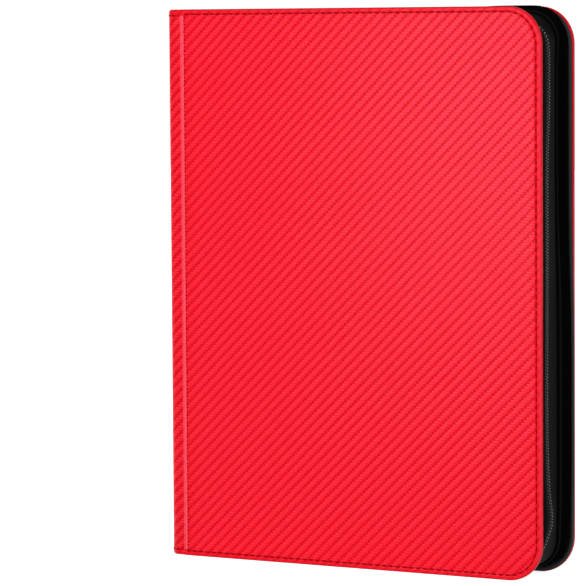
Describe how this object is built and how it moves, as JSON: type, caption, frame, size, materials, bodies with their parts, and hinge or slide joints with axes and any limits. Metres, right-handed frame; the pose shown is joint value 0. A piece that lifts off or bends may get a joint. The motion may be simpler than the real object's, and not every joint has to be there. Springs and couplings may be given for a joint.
{
  "type": "trading card binder",
  "caption": "Padded two-cover binder, closed by a zip on three sides, with side-loading nine-pocket leaves bound at its spine.",
  "frame": {"origin": "middle of the foot of the closed binder, on the surface that it stands on", "axes": "+Z from foot to head; +X from the spine to the fore-edge; +Y from the front cover to the back cover, so the front cover faces -Y"},
  "size_m": [0.268, 0.048, 0.35],
  "materials": {
    "red_leatherette": "satin",
    "foam": "matte",
    "greyboard": "matte",
    "black_lining": "matte",
    "zip_tape": "matte",
    "gusset_fabric": "matte",
    "zip_teeth": "satin",
    "nickel": "polished",
    "tab_rubber": "matte",
    "binding_plastic": "matte",
    "pocket_film": "gloss"
  },
  "bodies": {
    "spine": {"spine_skin": "red_leatherette", "spine_board": "greyboard", "spine_lining": "black_lining", "front_hinge_skin": "red_leatherette", "front_hinge_lining": "black_lining", "back_hinge_skin": "red_leatherette", "back_hinge_lining": "black_lining", "head_zip_end": "zip_tape", "foot_zip_end": "zip_tape", "head_stop": "nickel", "foot_stop": "nickel", "binding_block": "binding_plastic", "front_margins": "binding_plastic", "back_margins": "binding_plastic"},
    "front_cover": {"front_skin": "red_leatherette", "front_pad": "foam", "front_board": "greyboard", "front_lining": "black_lining", "front_lap": "red_leatherette", "front_tape": "zip_tape", "front_hem": "zip_tape", "front_chain": "zip_teeth"},
    "back_cover": {"back_skin": "red_leatherette", "back_pad": "foam", "back_board": "greyboard", "back_lining": "black_lining", "back_lap": "red_leatherette", "back_tape": "zip_tape", "back_chain": "zip_teeth", "back_gusset": "gusset_fabric", "back_hem": "gusset_fabric"},
    "zip_slider": {"slider": "nickel"},
    "zip_link": {"pull_link": "nickel"},
    "zip_tab": {"pull_tab": "tab_rubber"},
    "turning_leaf_01": {"leaf_01": "pocket_film"},
    "turning_leaf_02": {"leaf_02": "pocket_film"},
    "turning_leaf_03": {"leaf_03": "pocket_film"},
    "turning_leaf_04": {"leaf_04": "pocket_film"},
    "turning_leaf_05": {"leaf_05": "pocket_film"},
    "turning_leaf_06": {"leaf_06": "pocket_film"},
    "turning_leaf_07": {"leaf_07": "pocket_film"},
    "turning_leaf_08": {"leaf_08": "pocket_film"},
    "turning_leaf_09": {"leaf_09": "pocket_film"},
    "turning_leaf_10": {"leaf_10": "pocket_film"},
    "turning_leaf_11": {"leaf_11": "pocket_film"},
    "turning_leaf_12": {"leaf_12": "pocket_film"},
    "turning_leaf_13": {"leaf_13": "pocket_film"},
    "turning_leaf_14": {"leaf_14": "pocket_film"},
    "turning_leaf_15": {"leaf_15": "pocket_film"},
    "turning_leaf_16": {"leaf_16": "pocket_film"},
    "turning_leaf_17": {"leaf_17": "pocket_film"},
    "turning_leaf_18": {"leaf_18": "pocket_film"},
    "turning_leaf_19": {"leaf_19": "pocket_film"},
    "turning_leaf_20": {"leaf_20": "pocket_film"}
  },
  "joints": [
    {"name": "front_cover_hinge", "type": "hinge", "parent": "spine", "child": "front_cover", "pos_m": [-0.1325, -0.0217, 0.175], "axis": [0, 0, -1], "range_deg": [0, 90], "deforming": ["front_hinge_skin", "front_hinge_lining", "front_margins"]},
    {"name": "back_cover_hinge", "type": "hinge", "parent": "spine", "child": "back_cover", "pos_m": [-0.1325, 0.0217, 0.175], "axis": [0, 0, 1], "range_deg": [0, 90], "deforming": ["back_hinge_skin", "back_hinge_lining", "back_margins"]},
    {"name": "zip_run", "type": "slide", "parent": "spine", "child": "zip_slider", "axis": [1, 0, 0], "range_m": [0, 0.229]},
    {"name": "link_swing", "type": "hinge", "parent": "zip_slider", "child": "zip_link", "pos_m": [-0.12335, -0.007, 0.34855], "axis": [0, -1, 0], "range_deg": [0, 110]},
    {"name": "tab_swing", "type": "hinge", "parent": "zip_link", "child": "zip_tab", "pos_m": [-0.11645, -0.007, 0.34855], "axis": [0, -1, 0], "range_deg": [0, 70]},
    {"name": "leaf_01_turn", "type": "hinge", "parent": "spine", "child": "turning_leaf_01", "pos_m": [-0.12305, -0.01195, 0.175], "axis": [0, 0, -1], "range_deg": [0, 90]},
    {"name": "leaf_02_turn", "type": "hinge", "parent": "spine", "child": "turning_leaf_02", "pos_m": [-0.12305, -0.01195, 0.175], "axis": [0, 0, -1], "range_deg": [0, 90]},
    {"name": "leaf_03_turn", "type": "hinge", "parent": "spine", "child": "turning_leaf_03", "pos_m": [-0.12305, -0.01195, 0.175], "axis": [0, 0, -1], "range_deg": [0, 90]},
    {"name": "leaf_04_turn", "type": "hinge", "parent": "spine", "child": "turning_leaf_04", "pos_m": [-0.12305, -0.01195, 0.175], "axis": [0, 0, -1], "range_deg": [0, 90]},
    {"name": "leaf_05_turn", "type": "hinge", "parent": "spine", "child": "turning_leaf_05", "pos_m": [-0.12305, -0.01195, 0.175], "axis": [0, 0, -1], "range_deg": [0, 90]},
    {"name": "leaf_06_turn", "type": "hinge", "parent": "spine", "child": "turning_leaf_06", "pos_m": [-0.12305, -0.01195, 0.175], "axis": [0, 0, -1], "range_deg": [0, 90]},
    {"name": "leaf_07_turn", "type": "hinge", "parent": "spine", "child": "turning_leaf_07", "pos_m": [-0.12305, -0.01195, 0.175], "axis": [0, 0, -1], "range_deg": [0, 90]},
    {"name": "leaf_08_turn", "type": "hinge", "parent": "spine", "child": "turning_leaf_08", "pos_m": [-0.12305, -0.01195, 0.175], "axis": [0, 0, -1], "range_deg": [0, 90]},
    {"name": "leaf_09_turn", "type": "hinge", "parent": "spine", "child": "turning_leaf_09", "pos_m": [-0.12305, -0.01195, 0.175], "axis": [0, 0, -1], "range_deg": [0, 90]},
    {"name": "leaf_10_turn", "type": "hinge", "parent": "spine", "child": "turning_leaf_10", "pos_m": [-0.12305, -0.01195, 0.175], "axis": [0, 0, -1], "range_deg": [0, 90]},
    {"name": "leaf_11_turn", "type": "hinge", "parent": "spine", "child": "turning_leaf_11", "pos_m": [-0.12305, 0.01195, 0.175], "axis": [0, 0, 1], "range_deg": [0, 90]},
    {"name": "leaf_12_turn", "type": "hinge", "parent": "spine", "child": "turning_leaf_12", "pos_m": [-0.12305, 0.01195, 0.175], "axis": [0, 0, 1], "range_deg": [0, 90]},
    {"name": "leaf_13_turn", "type": "hinge", "parent": "spine", "child": "turning_leaf_13", "pos_m": [-0.12305, 0.01195, 0.175], "axis": [0, 0, 1], "range_deg": [0, 90]},
    {"name": "leaf_14_turn", "type": "hinge", "parent": "spine", "child": "turning_leaf_14", "pos_m": [-0.12305, 0.01195, 0.175], "axis": [0, 0, 1], "range_deg": [0, 90]},
    {"name": "leaf_15_turn", "type": "hinge", "parent": "spine", "child": "turning_leaf_15", "pos_m": [-0.12305, 0.01195, 0.175], "axis": [0, 0, 1], "range_deg": [0, 90]},
    {"name": "leaf_16_turn", "type": "hinge", "parent": "spine", "child": "turning_leaf_16", "pos_m": [-0.12305, 0.01195, 0.175], "axis": [0, 0, 1], "range_deg": [0, 90]},
    {"name": "leaf_17_turn", "type": "hinge", "parent": "spine", "child": "turning_leaf_17", "pos_m": [-0.12305, 0.01195, 0.175], "axis": [0, 0, 1], "range_deg": [0, 90]},
    {"name": "leaf_18_turn", "type": "hinge", "parent": "spine", "child": "turning_leaf_18", "pos_m": [-0.12305, 0.01195, 0.175], "axis": [0, 0, 1], "range_deg": [0, 90]},
    {"name": "leaf_19_turn", "type": "hinge", "parent": "spine", "child": "turning_leaf_19", "pos_m": [-0.12305, 0.01195, 0.175], "axis": [0, 0, 1], "range_deg": [0, 90]},
    {"name": "leaf_20_turn", "type": "hinge", "parent": "spine", "child": "turning_leaf_20", "pos_m": [-0.12305, 0.01195, 0.175], "axis": [0, 0, 1], "range_deg": [0, 90]}
  ],
  "couplings": [
    {"joint": "leaf_01_turn", "follows": "front_cover_hinge", "ratio": 1},
    {"joint": "leaf_02_turn", "follows": "front_cover_hinge", "ratio": 0.9955},
    {"joint": "leaf_03_turn", "follows": "front_cover_hinge", "ratio": 0.991},
    {"joint": "leaf_04_turn", "follows": "front_cover_hinge", "ratio": 0.9865},
    {"joint": "leaf_05_turn", "follows": "front_cover_hinge", "ratio": 0.982},
    {"joint": "leaf_06_turn", "follows": "front_cover_hinge", "ratio": 0.9775},
    {"joint": "leaf_07_turn", "follows": "front_cover_hinge", "ratio": 0.973},
    {"joint": "leaf_08_turn", "follows": "front_cover_hinge", "ratio": 0.9685},
    {"joint": "leaf_09_turn", "follows": "front_cover_hinge", "ratio": 0.964},
    {"joint": "leaf_10_turn", "follows": "front_cover_hinge", "ratio": 0.9595},
    {"joint": "leaf_11_turn", "follows": "back_cover_hinge", "ratio": 0.9595},
    {"joint": "leaf_12_turn", "follows": "back_cover_hinge", "ratio": 0.964},
    {"joint": "leaf_13_turn", "follows": "back_cover_hinge", "ratio": 0.9685},
    {"joint": "leaf_14_turn", "follows": "back_cover_hinge", "ratio": 0.973},
    {"joint": "leaf_15_turn", "follows": "back_cover_hinge", "ratio": 0.9775},
    {"joint": "leaf_16_turn", "follows": "back_cover_hinge", "ratio": 0.982},
    {"joint": "leaf_17_turn", "follows": "back_cover_hinge", "ratio": 0.9865},
    {"joint": "leaf_18_turn", "follows": "back_cover_hinge", "ratio": 0.991},
    {"joint": "leaf_19_turn", "follows": "back_cover_hinge", "ratio": 0.9955},
    {"joint": "leaf_20_turn", "follows": "back_cover_hinge", "ratio": 1}
  ]
}
